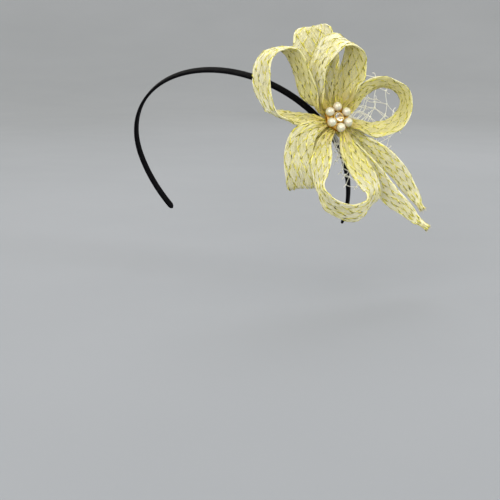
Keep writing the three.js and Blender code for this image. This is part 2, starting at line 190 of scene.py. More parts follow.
def new_piece(name, parts, material, mapped=True):
    """A mesh object from tubes. Each part has its own band of the bake map."""
    points = np.concatenate([part[0] for part in parts])
    starts = np.cumsum([0] + [len(part[0]) for part in parts])
    groups = [faces + start for part, start in zip(parts, starts) for faces in part[1]]
    sizes = np.concatenate([np.full(len(faces), faces.shape[1]) for faces in groups])
    corners = np.concatenate([faces.ravel() for faces in groups])
    mesh = bpy.data.meshes.new(name)
    mesh.vertices.add(len(points))
    mesh.vertices.foreach_set("co", (points * MM).ravel())
    mesh.loops.add(len(corners))
    mesh.loops.foreach_set("vertex_index", corners)
    mesh.polygons.add(len(sizes))
    mesh.polygons.foreach_set("loop_start", np.cumsum(sizes) - sizes)
    mesh.polygons.foreach_set("use_smooth", np.ones(len(sizes), bool))
    if mapped:
        places = []
        for number, part in enumerate(parts):
            spots = np.concatenate(part[2])
            places.append((spots + (0, number)) / (1, len(parts)))
        layer = mesh.uv_layers.new(name="OFBake")
        layer.uv.foreach_set("vector", np.concatenate(places).ravel())
    mesh.update(calc_edges=True)
    mesh.materials.append(material)
    piece = bpy.data.objects.new(name, mesh)
    bpy.context.scene.collection.objects.link(piece)
    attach(piece, "root")
    return piece


class Signal:
    """A shader socket that can stand in a sum: an expression on signals adds the Math nodes for it."""

    def __init__(self, socket):
        self.socket = socket

    def node(self, kind, settings=None, sockets=None, output=0):
        """A new node of that kind in the same material, with its settings made first."""
        tree = self.socket.id_data
        made = tree.nodes.new("ShaderNode" + kind)
        for name, value in (settings or {}).items():
            if name == "stops":
                ends = made.color_ramp.elements
                for stop, (place, colour) in enumerate(value):
                    element = ends[stop] if stop < len(ends) else ends.new(place)
                    element.position = place
                    element.color = colour
            else:
                setattr(made, name, value)
        for name, value in (sockets or {}).items():
            if isinstance(value, Signal):
                tree.links.new(value.socket, made.inputs[name])
            else:
                made.inputs[name].default_value = value
        return Signal(made.outputs[output])

    def maths(self, operation, first, second=0.0):
        return self.node("Math", {"operation": operation}, {0: first, 1: second})

    def __add__(self, other):
        return self.maths("ADD", self, other)

    __radd__ = __add__

    def __sub__(self, other):
        return self.maths("SUBTRACT", self, other)

    def __rsub__(self, other):
        return self.maths("SUBTRACT", other, self)

    def __mul__(self, other):
        return self.maths("MULTIPLY", self, other)

    __rmul__ = __mul__

    def __truediv__(self, other):
        return self.maths("DIVIDE", self, other)

    def wave(self):
        """The sine of this signal, from 0 to 1."""
        return self.maths("SINE", self) * 0.5 + 0.5

    def between(self, low, high):
        """0 below low, 1 above high, and smooth in between."""
        settings = {"interpolation_type": "SMOOTHSTEP"}
        return self.node("MapRange", settings, {"Value": self, "From Min": low, "From Max": high})

    def mix(self, low, high):
        """One colour where this signal is 0 and another where it is 1."""
        return self.node("Mix", {"data_type": "RGBA"}, {"Factor": self, 6: low, 7: high}, output=2)

    def mottle(self, size, detail=2.0):
        """Soft random patches of that size in mm, from about 0.3 to 0.7."""
        place = self.node("TexCoord", output="Object")
        sockets = {"Vector": place, "Scale": 1 / (size * MM), "Detail": detail}
        return self.node("TexNoise", None, sockets)

    def thread_map(self, along, across):
        """The piece's own map, along its threads and across them, stretched by two numbers."""
        place = self.node("TexCoord", output="UV")
        stretch = (along, across, 1)
        return self.node("VectorMath", {"operation": "MULTIPLY"}, {0: place, 1: stretch})

    def streaks(self, along, across, detail):
        """Random streaks on the piece's own map, with that many along it and across it."""
        place = self.thread_map(along, across)
        return self.node("TexNoise", None, {"Vector": place, "Scale": 1, "Detail": detail})

    def from_point(self, point):
        """The way from a point of the object, in mm, to the surface, in metres."""
        place = self.node("TexCoord", output="Object")
        return self.node("VectorMath", {"operation": "SUBTRACT"}, {0: place, 1: tuple(point * MM)})

    def axis(self, name):
        """One of the three numbers of a place."""
        return self.node("SeparateXYZ", None, {"Vector": self}, output=name)

    def bump(self, height, strength):
        """The normal of a surface that this signal raises by up to height in mm."""
        sockets = {"Height": self, "Distance": height * MM, "Strength": strength}
        return self.node("Bump", None, sockets, output="Normal")


def new_finish(name, values):
    """A material with one shader whose plain values are set, and a signal to start its patterns from."""
    material = bpy.data.materials.new(name)
    material.use_nodes = True
    shader = material.node_tree.nodes["Principled BSDF"]
    for socket, value in values.items():
        shader.inputs[socket].default_value = value
    return material, Signal(shader.outputs[0])


def feed(material, links):
    """Leads signals to the shader's sockets."""
    shader = material.node_tree.nodes["Principled BSDF"]
    for socket, signal in links.items():
        material.node_tree.links.new(signal.socket, shader.inputs[socket])


band_points, band_outward = band_line()
band_along = lengths_along(band_points)
to_tip = np.minimum(band_along, band_along[-1] - band_along)
tip_fullness = np.sqrt(1 - np.clip(1 - to_tip / TIP_LENGTH, 0, TIP_CLOSED) ** 2)
round_band = np.linspace(0, 2 * math.pi, BAND_SIDES, endpoint=False)
round_across = np.sign(np.cos(round_band)) * np.abs(np.cos(round_band)) ** (2 / BAND_SQUARENESS)
round_out = np.sign(np.sin(round_band)) * np.abs(np.sin(round_band)) ** (2 / BAND_SQUARENESS)
on_inner_face = round_out < -0.5
lapped = np.where(on_inner_face & (round_across > 0), BAND_LAP, 0)
band_section = np.stack((round_across * BAND_WIDTH / 2, round_out * BAND_THICKNESS / 2 - lapped), axis=-1)
band_section = band_section * tip_fullness[:, None, None]
band_middle = band_points + band_outward * BAND_THICKNESS / 2
band_rings = carried(band_middle[None], band_outward[None], band_section[None])

satin, start = new_finish("black_satin", {"Specular IOR Level": 0.03})
ribs = start.thread_map(band_along[-1] / SATIN_THREAD, 1).axis("X") * 2 * math.pi
rubbed = start.mottle(3, 5.0).between(0.5, 0.75)
feed(satin, {
    "Base Color": rubbed.mix(SATIN_BLACK, SATIN_WORN),
    "Roughness": 0.5 + 0.2 * start.mottle(9) + 0.05 * ribs.wave(),
    "Normal": ribs.wave().bump(0.05, 0.35),
})
band = new_piece("headband_satin", [tubes(band_rings)], satin)
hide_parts("headband")

# Base: a small disc of cream felt that carries the flower. It lies flat under the gathered ribbons,
# a little fuzzy where it was cut, and is sewn down to the band.
FLOWER_AZIMUTH = 22
FLOWER_ELEVATION = 5
AXIS_TURN = 32
AXIS_RISE = 20
PEARLS = 6
PEARL_HEIGHT = 0.5
BASE_TOP = -12.6
BASE_THICKNESS = 1.5
BASE_RADIUS = 8
BASE_SIDES = 64
FELT_LIGHT = (0.80, 0.74, 0.56, 1)
FELT_DARK = (0.62, 0.55, 0.37, 1)
FELT_UNEVEN = 0.05
FELT_HAIRS = 900
FELT_HAIR = 0.05
FELT_HAIR_LENGTHS = (0.4, 1.1)
FELT_HAIR_BEND = 0.6
FELT_HAIR_SPREAD = 0.7
FELT_HAIR_DROOP = 0.5
FELT_SHARE_UNDER = 0.6
FELT_BARE_SHARE = 0.35
HAIR_STATIONS = 4
HAIR_TAPER = 0.8
FELT_SEED = 11

# The flower is laid out as right, up and near of a viewer who looks at it from its own azimuth. Its
# axis is turned right and raised from there, and its middle is just under that of the pearls.
flower_axes = facing(FLOWER_AZIMUTH, FLOWER_ELEVATION)
turn, rise = math.radians(AXIS_TURN), math.radians(AXIS_RISE)
axis_east = np.array((math.cos(turn), 0, -math.sin(turn)))
axis_out = np.array((math.cos(rise) * math.sin(turn), math.sin(rise), math.cos(rise) * math.cos(turn)))
axis_frame = np.array((axis_east, np.cross(axis_out, axis_east), axis_out))
pearl_boxes = [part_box(f"pearl_{number}") for number in range(1, PEARLS + 1)]
pearl_places = np.array([(low + high) / 2 for low, high in pearl_boxes]) / MM
flower_middle = pearl_places.mean(axis=0) - PEARL_HEIGHT * (axis_out @ flower_axes)


def in_flower(points):
    """From right, up and near of the flower's middle to the object's frame."""
    return flower_middle + points @ flower_axes


def on_axis(points):
    """From the frame of the flower's own axis to the object's frame."""
    return in_flower(points @ axis_frame)


def lathe(profile, sides):
    """Rings of a turned shape from its (radius, height) profile, ready for tubes."""
    turn = np.linspace(0, -2 * math.pi, sides, endpoint=False)
    radius, height = np.array(profile, float).T[:, :, None]
    level = np.broadcast_to(height, (len(profile), sides))
    return np.stack((radius * np.cos(turn), radius * np.sin(turn), level), axis=-1)[None]


def rounded(points, steps):
    """A smooth line through points, with that many steps from each to the next."""
    points = np.asarray(points, float)
    padded = np.concatenate((2 * points[:1] - points[1:2], points, 2 * points[-1:] - points[-2:-1]))
    f = np.linspace(0, 1, steps, endpoint=False)[None, :, None]
    p0, p1, p2, p3 = (padded[k:len(points) - 1 + k, None] for k in range(4))
    line = 0.5 * (2 * p1 + (p2 - p0) * f + (2 * p0 - 5 * p1 + 4 * p2 - p3) * f ** 2
                  + (3 * p1 - p0 - 3 * p2 + p3) * f ** 3)
    return np.concatenate((line.reshape(-1, points.shape[1]), points[-1:]))


def circle(radius, corners):
    """The section of a round thread."""
    turn = np.linspace(0, 2 * math.pi, corners, endpoint=False)
    return radius * np.stack((np.cos(turn), np.sin(turn)), axis=-1)


def hairs(roots, ways, lengths, bend, radius, draws):
    """Short bent hairs that taper to a point, from their roots and the ways that they set out."""
    share = np.linspace(0, 1, HAIR_STATIONS)[None, :, None]
    curl = draws.normal(0, 1, (len(roots), 1, 3)) * bend
    lines = roots[:, None] + lengths[:, None, None] * share * (unit(ways)[:, None] + curl * share)
    section = circle(radius, 3) * (1 - HAIR_TAPER * share[..., None])
    lifts = np.broadcast_to((0.31, 0.23, 0.92), lines.shape)
    return tubes(carried(lines, lifts, section))


felt_draws = np.random.default_rng(FELT_SEED)
felt_out = (0.02, 0.3, 0.6, 0.85, 0.97)
felt_profile = [(BASE_RADIUS * share, BASE_TOP - BASE_THICKNESS) for share in felt_out]
felt_profile += [(BASE_RADIUS, BASE_TOP - BASE_THICKNESS * share) for share in (0.75, 0.5, 0.25)]
felt_profile += [(BASE_RADIUS * share, BASE_TOP) for share in felt_out[::-1]]
felt_rings = lathe(felt_profile, BASE_SIDES)
felt_rings += felt_draws.normal(0, FELT_UNEVEN, felt_rings.shape)
hair_turn = felt_draws.uniform(0, 2 * math.pi, FELT_HAIRS)
hair_radius = BASE_RADIUS * np.sqrt(felt_draws.uniform(FELT_BARE_SHARE, 1, FELT_HAIRS))
hair_under = felt_draws.uniform(0, 1, FELT_HAIRS) < FELT_SHARE_UNDER
hair_drop = np.where(hair_under, BASE_THICKNESS, felt_draws.uniform(0, 1, FELT_HAIRS))
hair_radius = np.where(hair_under, hair_radius, BASE_RADIUS)
hair_out = np.stack((np.cos(hair_turn), np.sin(hair_turn), np.zeros(FELT_HAIRS)), axis=-1)
hair_roots = hair_out * hair_radius[:, None]
hair_roots[:, 2] = BASE_TOP - hair_drop
hair_ways = hair_out + felt_draws.normal(0, FELT_HAIR_SPREAD, (FELT_HAIRS, 3))
hair_ways[:, 2] -= np.where(hair_under, FELT_HAIR_DROOP, 0)
hair_lengths = felt_draws.uniform(*FELT_HAIR_LENGTHS, FELT_HAIRS)
felt_hairs = hairs(hair_roots, hair_ways, hair_lengths, FELT_HAIR_BEND, FELT_HAIR, felt_draws)

felt, start = new_finish("cream_felt", {"Roughness": 0.95, "Sheen Weight": 0.5, "Sheen Roughness": 0.6})
matted = start.mottle(0.5, 6.0)
feed(felt, {
    "Base Color": (0.6 * matted + 0.5 * start.mottle(4)).between(0.3, 0.8).mix(FELT_DARK, FELT_LIGHT),
    "Normal": matted.bump(0.3, 0.8),
})
base_parts = [tubes(on_axis(felt_rings)), (on_axis(felt_hairs[0]), *felt_hairs[1:])]
base = new_piece("base_felt", base_parts, felt)
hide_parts("base_disc")

# Whip stitches: a few loops of black thread that hold the felt to the band. Each leaves the felt,
# passes round the band and comes back up on its far side, a little further along.
FLOWER_ROUND = 63.6
STITCHES = 5
STITCH_SPACING = 1.7
STITCH_RADIUS = 0.22
STITCH_PLY = 260
STITCH_PLY_ROUND = 6.3
THREAD_BLACK = (0.008, 0.008, 0.009, 1)
THREAD_WORN = (0.03, 0.03, 0.032, 1)

# A point of the route is how far across the band it lies, in band widths, how far out from the inner
# face, and how far along from the first point.
STITCH_ROUTE = (
    (0.55, 3.4, 0), (0.58, 1.6, 0.1), (0.53, 0.1, 0.2), (0.3, -0.22, 0.4),
    (-0.3, -0.22, 0.9), (-0.53, 0.1, 1.1), (-0.58, 1.6, 1.2), (-0.55, 3.4, 1.3))

seat_station = LEG_STATIONS + (FLOWER_ROUND + 90) / 180 * (ARCH_STATIONS - 1)
seat_along = np.interp(seat_station, np.arange(len(band_along)), band_along)
band_ahead = np.gradient(band_points, axis=0)
seat_front = at_places(seat_along, band_along, unit(np.cross(band_ahead, band_outward)))
seat_out = at_places(seat_along, band_along, band_outward)
stitch_lines = []
for stitch in range(STITCHES):
    offset = (stitch - (STITCHES - 1) / 2) * STITCH_SPACING
    route = []
    for across, out, slip in STITCH_ROUTE:
        spot = at_places(seat_along + offset + slip, band_along, band_points)
        route.append(spot + seat_front * across * BAND_WIDTH + seat_out * out)
    stitch_lines.append(rounded(route, 6))
stitch_lines = np.array(stitch_lines)
stitch_lifts = np.broadcast_to(band_ahead[len(band_ahead) // 2], stitch_lines.shape)
stitch_rings = carried(stitch_lines, stitch_lifts, circle(STITCH_RADIUS, 6))

black_thread, start = new_finish("black_thread", {"Sheen Weight": 0.4})
ply = start.thread_map(STITCH_PLY, STITCH_PLY_ROUND * STITCHES)
twist = (ply.axis("X") + ply.axis("Y")).wave()
feed(black_thread, {
    "Base Color": twist.mix(THREAD_BLACK, THREAD_WORN),
    "Roughness": 0.5 + 0.2 * twist,
    "Normal": twist.bump(0.06, 0.6),
})
stitches = new_piece("band_stitches", [tubes(stitch_rings)], black_thread)

# Veil: a fan of cream knotted net behind the right loop and the tails. Thin threads meet in small
# knots, and the cut edge leaves short stubs. Its inner edge is gathered under the ribbons.
ROOT_RADIUS = 5.35
VEIL_HEIGHT = -11.85
VEIL_FIRST = -82
VEIL_LAST = 46
VEIL_NET_START = 14
VEIL_REACH = 46
VEIL_POINT = 14
VEIL_POINT_AT = 18
VEIL_DROOP = 2.6
VEIL_DROOP_FROM = 13
VEIL_DROOP_BY = 9
VEIL_RUMPLE = 1.6
VEIL_RUMPLE_LEAN = 0.6
VEIL_RUMPLES_ROUND = 9
VEIL_RUMPLE_LENGTH = 11
VEIL_THREAD = 0.22
VEIL_THREAD_STATIONS = 7
VEIL_KNOT = 0.62
VEIL_KNOT_SHAPE = ((0.35, -0.95), (0.95, -0.4), (0.95, 0.4), (0.35, 0.95))
VEIL_KNOT_UNEVEN = 0.25
VEIL_STRAY = 1.2
VEIL_STRAY_UP = 0.4
VEIL_SLACK = 0.45
VEIL_STUB = 4.5
VEIL_STUB_SHORTEST = 0.4
VEIL_SEED = 7
VEIL_PALE = (0.97, 0.96, 0.92, 1)
VEIL_WARM = (0.94, 0.92, 0.80, 1)

# The net lies in three folds. Each has its meshes round and out, its share of the reach, and its turn
# in degrees.
VEIL_FOLDS = ((9, 7, 1.0, 0), (9, 6, 0.8, 5), (12, 4, 0.55, -3))

veil_draws = np.random.default_rng(VEIL_SEED)


def veil_place(column, row, columns, rows, reach_share, turned):
    """A knot's place in the axis frame, off the even fan where the net is rumpled."""
    angle = VEIL_FIRST + (VEIL_LAST - VEIL_FIRST) * column / columns
    reach = VEIL_REACH + VEIL_POINT * max(0, math.cos(math.radians(2 * (angle - VEIL_POINT_AT))))
    radius = VEIL_NET_START + (reach * reach_share - VEIL_NET_START) * row / rows
    past = max(0, radius - VEIL_DROOP_FROM) / VEIL_DROOP_BY
    turn = math.radians(angle + turned)
    wave = math.sin(VEIL_RUMPLES_ROUND * turn + radius / VEIL_RUMPLE_LENGTH + turned)
    rumple = VEIL_RUMPLE * radius / VEIL_REACH * (VEIL_RUMPLE_LEAN + wave)
    height = VEIL_HEIGHT - VEIL_DROOP * (1 - math.exp(-past)) - min(1, past) * rumple
    even = np.array((radius * math.cos(turn), radius * math.sin(turn), height))
    stray = veil_draws.normal(0, VEIL_STRAY, 3) * (1, 1, VEIL_STRAY_UP)
    return even + stray * min(1, radius / VEIL_REACH)


def net_fold(columns, rows, reach_share, turned):
    """The knots of one fold of the net, and the two ends of each thread from knot to knot."""
    knots = {}
    for row in range(rows + 1):
        for column in np.arange(row % 2 / 2, columns + 0.1):
            knots[row, column] = veil_place(column, row, columns, rows, reach_share, turned)
    threads = []
    for (row, column), knot in knots.items():
        for sideways in (-0.5, 0.5):
            following = knots.get((row + 1, column + sideways))
            if following is None:
                beyond = veil_place(column + sideways, row + 1, columns, rows, reach_share, turned)
                stub = veil_draws.uniform(VEIL_STUB_SHORTEST, 1) * VEIL_STUB
                following = knot + unit(beyond - knot) * stub
            threads.append((knot, following))
        if row == 0:
            gathered = ROOT_RADIUS / VEIL_NET_START
            threads.append((knot * (gathered, gathered, 1), knot))
    return list(knots.values()), threads


knot_places = []
veil_ends = []
for fold in VEIL_FOLDS:
    knots, threads = net_fold(*fold)
    knot_places += knots
    veil_ends += threads
knot_places = np.array(knot_places)
veil_ends = np.array(veil_ends)
veil_share = np.linspace(0, 1, VEIL_THREAD_STATIONS)[None, :, None]
veil_sag = veil_draws.normal(0, VEIL_SLACK, (len(veil_ends), 1, 3)) * np.sin(math.pi * veil_share)
veil_lines = veil_ends[:, :1] * (1 - veil_share) + veil_ends[:, 1:] * veil_share + veil_sag
veil_lifts = np.broadcast_to((0.05, 0.02, 1.0), veil_lines.shape)
veil_rings = carried(veil_lines, veil_lifts, circle(VEIL_THREAD, 4))
knot_shape = lathe(VEIL_KNOT_SHAPE, 6) * VEIL_KNOT
knot_sizes = veil_draws.uniform(1 - VEIL_KNOT_UNEVEN, 1 + VEIL_KNOT_UNEVEN, (len(knot_places), 1, 1, 3))
knot_rings = knot_places[:, None, None] + knot_shape * knot_sizes

net, start = new_finish("veil_net", {
    "Sheen Weight": 0.3, "Sheen Roughness": 0.5, "Subsurface Weight": 0.1})
spun = start.mottle(0.6, 3.0)
feed(net, {
    "Base Color": (0.5 * spun + 0.5 * start.mottle(8)).between(0.35, 0.65).mix(VEIL_WARM, VEIL_PALE),
    "Roughness": 0.45 + 0.3 * spun,
    "Normal": spun.bump(0.08, 0.5),
})
veil = new_piece("veil_threads", [tubes(on_axis(veil_rings)), tubes(on_axis(knot_rings))], net)
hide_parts("veil_net")

# Ribbons: flattened tubes of braided crinoline, cream filament with a lattice of gold tape plied in.
# Five loops, a flattened petal and two tails leave the gathered middle on three tiers, each pleated
# where it is drawn in. All are cut from one tube.
TUBE_WIDTH = 24
TIER_HEIGHTS = (-4.85, -7.4, -9.95)
ROOT_WIDTH = 3.2
LEAD_RADIUS = 9
LEAD_WIDTH = 4.6
FLAT_WIDTH = 9
LAYER_HALF = 0.5
ROOT_HALF = 0.95

# The pleats at the roots, the rounding of the flattened tube, its bow across and its crumples along.
PLEAT_DEPTH = 0.8
PLEAT_REACH = 11
FINE_PLEATS = 3.5
FINE_PLEAT_DEPTH = 0.35
FOLD_SHARPNESS = 0.985
LAYER_ROUNDING = 0.03
EDGE_TURN = 9
BOW = 0.7
BOW_LEVEL = 0.4
CRUMPLE = 0.35
CRUMPLE_LENGTH = 5.3
CRUMPLE_SLANT = 2
CRUMPLE_SPELL = 11.7

# The cream filaments: so many wind each way in one turn a pitch, stray a little, and pass over and
# under each other.
BRAID_PITCH = 110
FILAMENTS = 64
FILAMENT = 0.168
FILAMENT_STEP = 2
FILAMENT_STRAY = 0.3
FILAMENT_STRAY_LENGTH = 6
FILAMENT_UNEVEN = 0.5
FILAMENT_CROSSING = 0.09
FILAMENT_WAVE = 0.1
FILAMENT_WAVE_LENGTH = 3.1
FILAMENT_STREAK = 1.6

# The gold tapes: so many wind each way, twist to and fro by an angle in radians, and weave out over
# the filaments and in under them.
GOLD_TAPES = 7
TAPE_FIRST = 0.35
TAPE_WIDTH = 0.8
TAPE_THICKNESS = 0.12
TAPE_STRAY = 0.006
TAPE_STRAY_LENGTH = 9
TAPE_TWIST = 0.7
TAPE_TWIST_LENGTH = 9
TAPE_LIFT = 0.13
TAPE_WEAVE = 0.28
TAPE_WEAVE_LENGTH = 6.5
TAPE_STEP = 0.8
# The painted glints along the tapes come in dashes about this long, in mm.
TAPE_PAINTED_GLINT = 3.2

# The bake map has room for this length of ribbon, more than the longest one needs.
MAP_LENGTH = 260
RIBBON_SEED = 100
CREAM = (0.95, 0.92, 0.68, 1)
CREAM_YELLOW = (0.86, 0.80, 0.34, 1)
CREAM_PALE = (0.97, 0.95, 0.83, 1)
# Painted shade: the inner faces of the loops are tinted a deeper gold, flecked darker.
INSIDE_PAINTED_SHADE_GOLD = (0.98, 0.91, 0.36, 1)
INSIDE_PAINTED_SHADE_DARK = (0.91, 0.82, 0.29, 1)
# Ochre near the knot: denser gold thread, and painted shade in the deep folds there.
ROOT_OCHRE_AND_SHADE = (0.74, 0.56, 0.08, 1)
# Gold tape colours: painted bright glints, and painted dark reflections.
GOLD_BRIGHT_PAINTED_GLINT = (0.90, 0.84, 0.10, 1)
GOLD_DEEP_PAINTED_GLINT = (0.42, 0.34, 0.02, 1)
GOLD_DARK_PAINTED_REFLECTION = (0.030, 0.024, 0.005, 1)

# A ribbon leaves the knot at an angle round the flower's axis on one of the tiers. The tails stop at
# their tied tips and the others come back to the knot. A section is (right, up, near, width, edge,
# tilt): its middle, its flat width, the direction in degrees of the line across it as seen (0 right,
# 90 up), and how far that line tips towards the viewer.
RIBBONS = {
    "loop_left": ((136, 1), (180, 1), (
        (-18.5, 11.5, 0, 16, 5, 50), (-23.5, 27, 4, 24, -2, 60), (-30, 41, 8, 24, -4, 61),
        (-37, 43.5, 12, 24, -4, 61), (-45.5, 40, 16, 24, -2, 61), (-49.5, 31, 20, 24, 2, 61),
        (-48.5, 17, 22, 24, 2, 61), (-42.3, 2.8, 20, 22, 30, 78), (-32.5, -0.3, 9.5, 17, 72, 108),
        (-22, -1, 0.3, 14, 75, 116))),
    "loop_top_back": ((100, 1), (83, 2), (
        (-12.5, 20, -10.8, 18, 2, 0), (-16, 38, -12, 27.5, 3, 0), (-17.5, 51, -13.5, 27, 6, 0),
        (-18.5, 57, -16, 24, 8, 0), (-19, 59.5, -20, 18, 10, 0), (-18.5, 57, -24, 24, 8, 0),
        (-17.5, 51, -27, 27, 6, 0), (-12.5, 34, -26, 25, 4, 0), (-9, 17, -20, 15, 2, 0))),
    "loop_top_front": ((118, 0), (62, 0), (
        (-14, 15, 0, 14, -15, 50), (-14.5, 30, 3, 21, -15, 55), (-9.5, 41, 5, 23, -20, 55),
        (-3, 48, 5, 24, -30, 51), (4, 49, 3, 22, -38, 52), (9.4, 44, -2, 22, -22, 53),
        (9.6, 36, -6.5, 23.5, -12, 50), (7.4, 26.5, -8.5, 27, -10, 50), (4.6, 17, -8, 20, -5, 50))),
    "loop_right": ((22, 1), (352, 0), (
        (12.5, 14, -14, 12, 130, 60), (19, 20, -17, 19, 115, 68), (30, 22.5, -24, 22, 92, 77),
        (39, 20, -28, 22, 60, 75), (44.5, 13, -31, 22, 15, 73), (43, 4, -30, 22, -25, 69),
        (35.5, -4.5, -25, 22, -62, 66), (23, -8, -18, 18, -85, 62), (13, -5.5, -11, 11, -100, 60))),
    "petal_lower_left": ((202, 0), (226, 2), (
        (-16, -7.5, 10, 11, 115, 10), (-22.5, -13.5, 14, 17, 143, 10), (-25.5, -23, 14, 18, 172, 10),
        (-25, -35, 14, 18, 182, 5), (-23, -46, 9, 18, 184, 0), (-22.5, -37, 3, 18, 180, 0),
        (-18, -21, 0, 13, 165, 0))),
    "loop_bottom": ((240, 0), (296, 0), (
        (-9, -16.5, 8, 9.5, 0, 20), (-10.5, -26.5, 18, 14, 2, 20), (-10.8, -37, 22, 14, 6, 50),
        (-10.5, -45.5, 25, 14, 25, 66), (-4, -55.5, 24, 15, 55, 48), (8, -61, 20, 15, 90, 42),
        (15.5, -59.8, 17, 15, 105, 52), (19, -56.5, 14.5, 15, 130, 74), (20.5, -54, 13, 15, 170, 72),
        (22.3, -50.5, 12, 15, 190, 52), (22.6, -46.5, 11, 15, 190, 45), (17.8, -38, 8, 16, 205, 30),
        (11.8, -29, 5, 15, 213, 25), (7, -21, 2, 12, 205, 25))),
    "tail_upper": ((335, 1), None, (
        (15.5, -14.5, -14, 8, 42, 25), (28, -24, -12, 13, 42, 25), (39, -34.5, -11, 13, 38, 25),
        (46.6, -45.5, -11, 10.5, 32, 25), (51.8, -53, -11, 7, 32, 20), (54.2, -57, -11, 3.6, 36, 20),
        (56.6, -60.5, -11, 4, 40, 20))),
    "tail_lower": ((304, 2), None, (
        (12.5, -22, -9.2, 8, 40, 20), (24, -38, -8, 14, 38, 20), (33.5, -50, -6, 14, 42, 20),
        (43.8, -59, -5, 11, 45, 20), (51.8, -66.4, -5, 6, 45, 20), (56.8, -70, -5, 3.4, 45, 20),
        (60, -72.3, -5, 4, 45, 20))),
}


def root_rows(root, towards):
    """The two gathered sections of a ribbon's end, which lie round the knot and point straight out."""
    angle, tier = root
    turn = math.radians(angle)
    outward = np.array((math.cos(turn), math.sin(turn), 0))
    across = np.array((-math.sin(turn), math.cos(turn), 0)) @ axis_frame
    across = across if across @ towards > 0 else -across
    rows = []
    for radius, width in ((ROOT_RADIUS, ROOT_WIDTH), (LEAD_RADIUS, LEAD_WIDTH)):
        middle = (outward * radius + (0, 0, TIER_HEIGHTS[tier])) @ axis_frame
        rows.append((*middle, width, *across))
    return rows


class Ribbon:
    """The run of one ribbon: its middle line, its width and its directions, by the distance along it."""

    def __init__(self, start, end, sections):
        rows = []
        for right, up, near, width, edge, tilt in sections:
            edge, tilt = math.radians(edge), math.radians(tilt)
            flat = math.cos(tilt)
            rows.append((right, up, near, width,
                         flat * math.cos(edge), flat * math.sin(edge), math.sin(tilt)))
        rows = root_rows(start, np.array(rows[0][4:])) + rows
        if end:
            rows += root_rows(end, np.array(rows[-1][4:]))[::-1]
        self.table = rounded(rows, 16)
        self.along = lengths_along(self.table[:, :3])
        self.length = self.along[-1]
        self.returns = end is not None
        self.heart = self.table[:, :3].mean(axis=0)

    def at(self, step):
        """Evenly spaced stations about a step apart."""
        along = np.linspace(0, self.length, round(self.length / step) + 1)
        table = at_places(along, self.along, self.table)
        middle, width, across = table[:, :3], table[:, 3], table[:, 4:]
        ahead = unit(np.gradient(middle, axis=0))
        side = unit(across - ahead * np.sum(across * ahead, axis=1, keepdims=True))
        return along, middle, width, side, np.cross(ahead, side)

    def gathered(self, along):
        """How strongly the ribbon is pleated, near each end that is drawn into the knot."""
        near = along / PLEAT_REACH
        far = (self.length - along) / PLEAT_REACH
        pleats = near * np.exp(1 - near)
        return pleats + far * np.exp(1 - far) if self.returns else pleats

    def on_tube(self, step, turns, lift):
        """Lines on the flattened tube. turns[line, station] goes once round it from 0 to 1."""
        along, middle, width, side, face = self.at(step)
        angle = 2 * math.pi * turns
        across = np.arcsin(FOLD_SHARPNESS * np.sin(angle)) / math.asin(FOLD_SHARPNESS)
        layer = np.cos(angle) / np.sqrt(np.cos(angle) ** 2 + LAYER_ROUNDING)
        flatness = np.clip((width - ROOT_WIDTH) / (FLAT_WIDTH - ROOT_WIDTH), 0, 1)
        half = ROOT_HALF + (LAYER_HALF - ROOT_HALF) * flatness
        pleats = PLEAT_DEPTH * np.cos(2 * math.pi * across)
        pleats = pleats + FINE_PLEAT_DEPTH * np.cos(2 * math.pi * FINE_PLEATS * across)
        bow = BOW * flatness * (BOW_LEVEL - across ** 2) * width / TUBE_WIDTH
        crumple = np.sin(along / CRUMPLE_LENGTH + CRUMPLE_SLANT * across) * np.sin(along / CRUMPLE_SPELL + 1)
        height = self.gathered(along) * pleats + bow + CRUMPLE * flatness * crumple + (half + lift) * layer
        lines = middle + side * (across * width / 2)[..., None] + face * height[..., None]
        outward = face * layer[..., None] + side * (across ** EDGE_TURN)[..., None]
        return lines, outward

    def inside(self, step, turns):
        """1 where a line runs on the layer that faces into the loop, and 0 on the outer one. Shade is
        painted on that inner layer.
        """
        along, middle, width, side, face = self.at(step)
        inward = np.sign(np.sum(face * (self.heart - middle), axis=1))
        return np.clip(0.5 + 2 * inward * np.cos(2 * math.pi * turns), 0, 1) * self.returns


def filament_rings(ribbon, draws):
    """The cream filaments, which wind both ways round the tube, and where they face into the loop and take
    painted shade.
    """
    along = ribbon.at(FILAMENT_STEP)[0]
    count = 2 * FILAMENTS
    way = np.where(np.arange(count) < FILAMENTS, 1, -1)[:, None]
    first = (np.arange(count) % FILAMENTS)[:, None] / FILAMENTS
    phase = draws.uniform(0, 2 * math.pi, (3, count, 1))
    stray = np.sin(along / FILAMENT_STRAY_LENGTH + phase[0]) + draws.normal(0, FILAMENT_UNEVEN, (count, 1))
    turns = first + way * along / BRAID_PITCH + FILAMENT_STRAY / FILAMENTS * stray
    lift = FILAMENT_CROSSING * way + FILAMENT_WAVE * np.sin(along / FILAMENT_WAVE_LENGTH + phase[1])
    lines, outward = ribbon.on_tube(FILAMENT_STEP, turns, lift)
    rings = carried(lines, outward, circle(FILAMENT, 3))
    return rings, along / MAP_LENGTH, np.repeat(ribbon.inside(FILAMENT_STEP, turns), 3)


